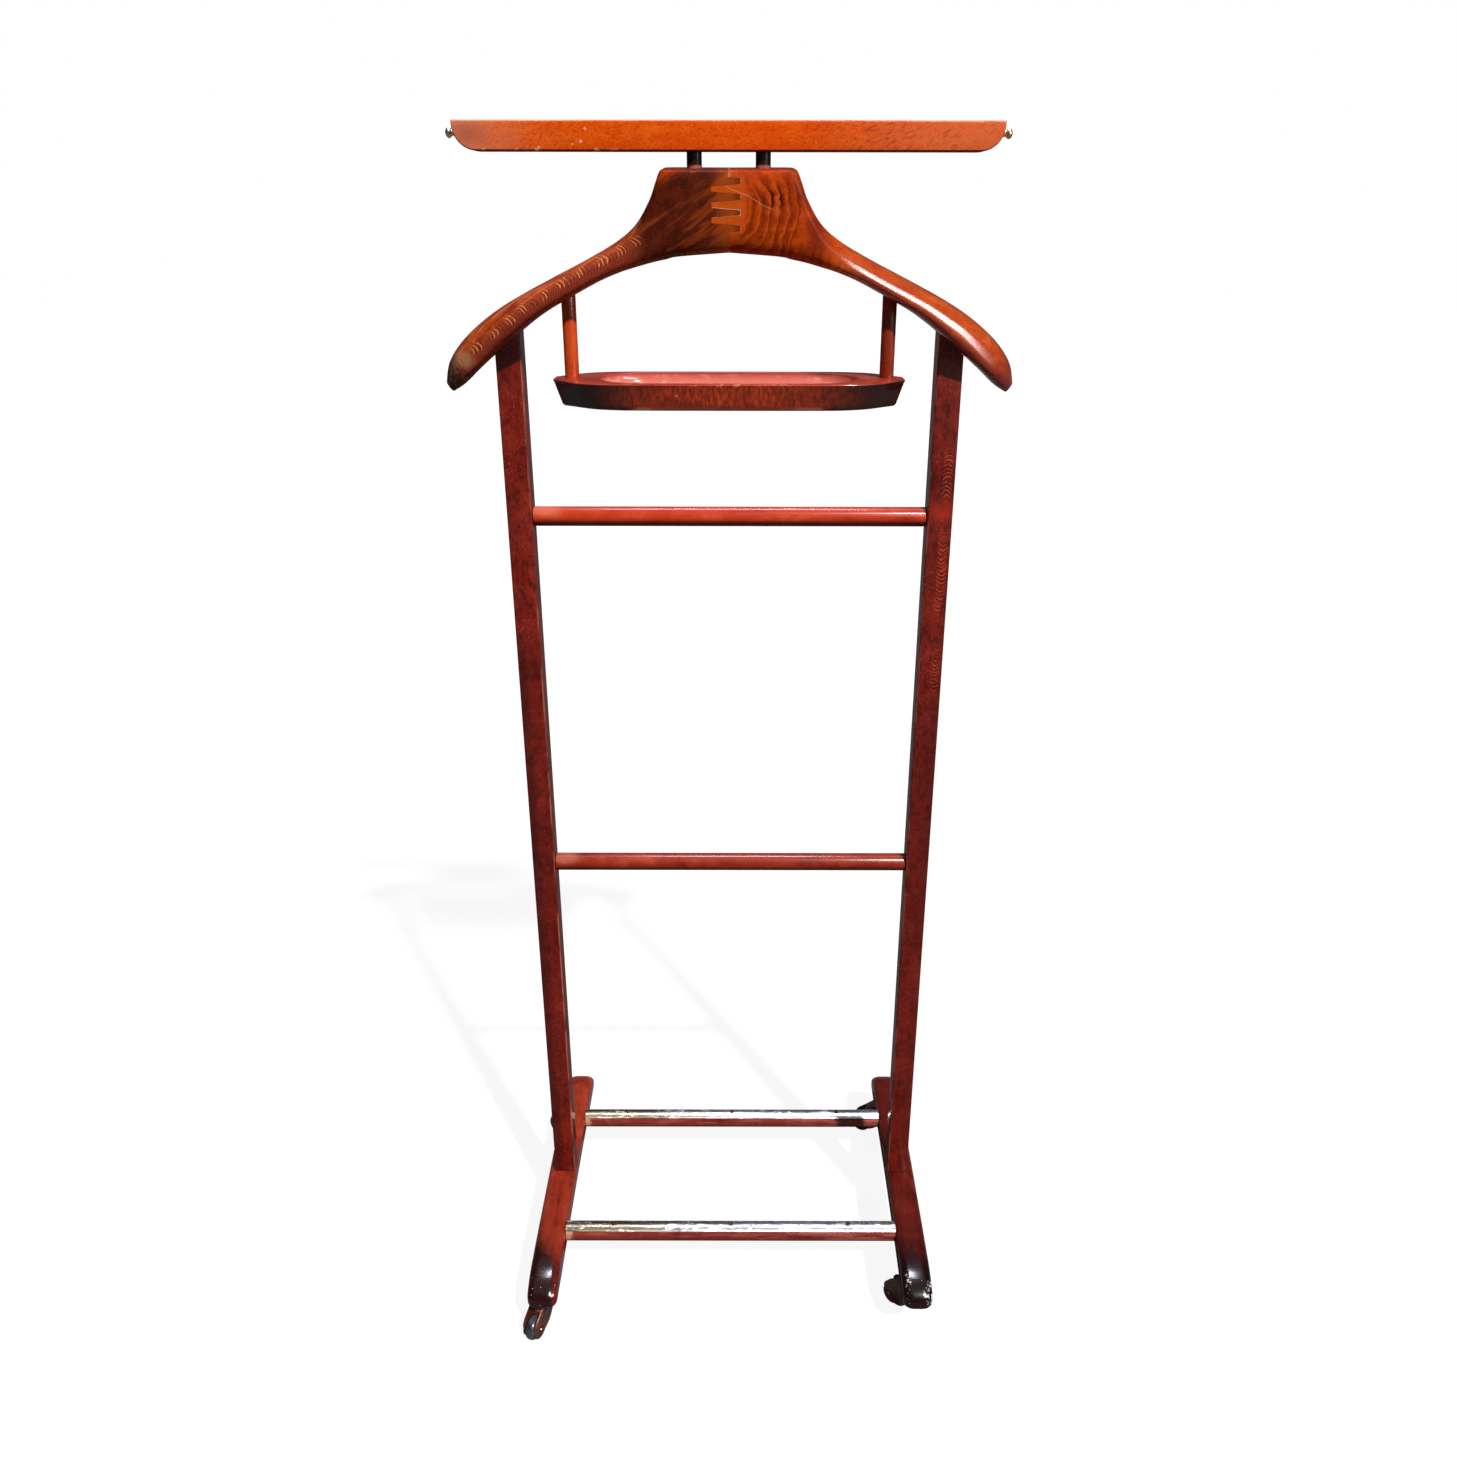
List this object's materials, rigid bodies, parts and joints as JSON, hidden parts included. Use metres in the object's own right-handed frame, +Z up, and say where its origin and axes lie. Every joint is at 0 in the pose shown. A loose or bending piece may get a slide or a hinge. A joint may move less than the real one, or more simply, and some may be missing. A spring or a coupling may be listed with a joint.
{
  "type": "valet stand",
  "caption": "Stained wooden valet stand with a contoured finger-jointed coat hanger, trouser board with swinging clamp rod, tray, trouser rungs, brass-covered shoe rails and swivel casters",
  "frame": {"origin": "on the floor, at the middle of the footprint, midway between the two uprights", "axes": "+Z up; +X to the right of someone facing the stand; +Y away from that person, so the hanger and the trouser board bow towards -Y"},
  "size_m": [0.4708, 0.3392, 1.095],
  "materials": {
    "orange_wood": "satin varnish over an orange-brown stain, worn paler at the ends",
    "red_wood": "glossy dark red-brown varnish",
    "dark_wood": "glossy dark varnish, chipped at the edges",
    "brass": "thin polished sheet, tarnished and spotted",
    "plain_steel": "bright steel, slightly dulled",
    "bronzed_steel": "bronze-brown lacquer worn to tan at the edges",
    "wheel_rubber": "hard dark grey rubber",
    "dark_nails": "dark domed nail heads"
  },
  "bodies": {
    "stand": {"board_post_left": "dark_wood", "board_post_right": "dark_wood", "caster_socket_front_left": "plain_steel", "caster_socket_front_right": "plain_steel", "caster_socket_rear_left": "plain_steel", "caster_socket_rear_right": "plain_steel", "clamp_bracket_left": "plain_steel", "clamp_bracket_right": "plain_steel", "clamp_pin_left": "plain_steel", "clamp_pin_right": "plain_steel", "cover_nail_front_left": "dark_nails", "cover_nail_front_middle": "dark_nails", "cover_nail_front_right": "dark_nails", "cover_nail_rear_left": "dark_nails", "cover_nail_rear_middle": "dark_nails", "cover_nail_rear_right": "dark_nails", "foot_left": "red_wood", "foot_right": "red_wood", "hanger_left": "orange_wood", "hanger_right": "orange_wood", "lower_rung": "red_wood", "rail_cover_front": "brass", "rail_cover_rear": "brass", "shoe_rail_front": "red_wood", "shoe_rail_rear": "red_wood", "tray": "dark_wood", "tray_post_left": "orange_wood", "tray_post_right": "orange_wood", "trouser_board": "orange_wood", "upper_rung": "red_wood", "upright_left": "red_wood", "upright_right": "red_wood"},
    "clamp": {"clamp_rod": "plain_steel", "clamp_arm_left": "plain_steel", "clamp_arm_right": "plain_steel", "finial_left": "plain_steel", "finial_right": "brass"},
    "caster_front_left": {"caster_hood_front_left": "bronzed_steel", "caster_axle_front_left": "plain_steel"},
    "wheel_front_left": {"caster_wheel_front_left": "wheel_rubber"},
    "caster_front_right": {"caster_hood_front_right": "bronzed_steel", "caster_axle_front_right": "plain_steel"},
    "wheel_front_right": {"caster_wheel_front_right": "wheel_rubber"},
    "caster_rear_left": {"caster_hood_rear_left": "bronzed_steel", "caster_axle_rear_left": "plain_steel"},
    "wheel_rear_left": {"caster_wheel_rear_left": "wheel_rubber"},
    "caster_rear_right": {"caster_hood_rear_right": "bronzed_steel", "caster_axle_rear_right": "plain_steel"},
    "wheel_rear_right": {"caster_wheel_rear_right": "wheel_rubber"}
  },
  "joints": [
    {"name": "clamp_hinge", "type": "hinge", "parent": "stand", "child": "clamp", "pos_m": [0, -0.0028, 1.0805], "axis": [1, 0, 0], "range_deg": [-170, 0]},
    {"name": "swivel_front_left", "type": "hinge", "parent": "stand", "child": "caster_front_left", "pos_m": [-0.184, -0.1339, 0.0465], "axis": [0, 0, 1], "continuous": true},
    {"name": "roll_front_left", "type": "hinge", "parent": "caster_front_left", "child": "wheel_front_left", "pos_m": [-0.19416, -0.15783, 0.012], "axis": [0.9205, -0.3907, 0], "continuous": true},
    {"name": "swivel_front_right", "type": "hinge", "parent": "stand", "child": "caster_front_right", "pos_m": [0.184, -0.1339, 0.0465], "axis": [0, 0, 1], "continuous": true},
    {"name": "roll_front_right", "type": "hinge", "parent": "caster_front_right", "child": "wheel_front_right", "pos_m": [0.16872, -0.11287, 0.012], "axis": [-0.809, -0.5878, 0], "continuous": true},
    {"name": "swivel_rear_left", "type": "hinge", "parent": "stand", "child": "caster_rear_left", "pos_m": [-0.184, 0.1371, 0.0465], "axis": [0, 0, 1], "continuous": true},
    {"name": "roll_rear_left", "type": "hinge", "parent": "caster_rear_left", "child": "wheel_rear_left", "pos_m": [-0.20986, 0.13982, 0.012], "axis": [-0.1045, -0.9945, 0], "continuous": true},
    {"name": "swivel_rear_right", "type": "hinge", "parent": "stand", "child": "caster_rear_right", "pos_m": [0.184, 0.1371, 0.0465], "axis": [0, 0, 1], "continuous": true},
    {"name": "roll_rear_right", "type": "hinge", "parent": "caster_rear_right", "child": "wheel_rear_right", "pos_m": [0.15857, 0.14251, 0.012], "axis": [-0.2079, -0.9781, 0], "continuous": true}
  ]
}
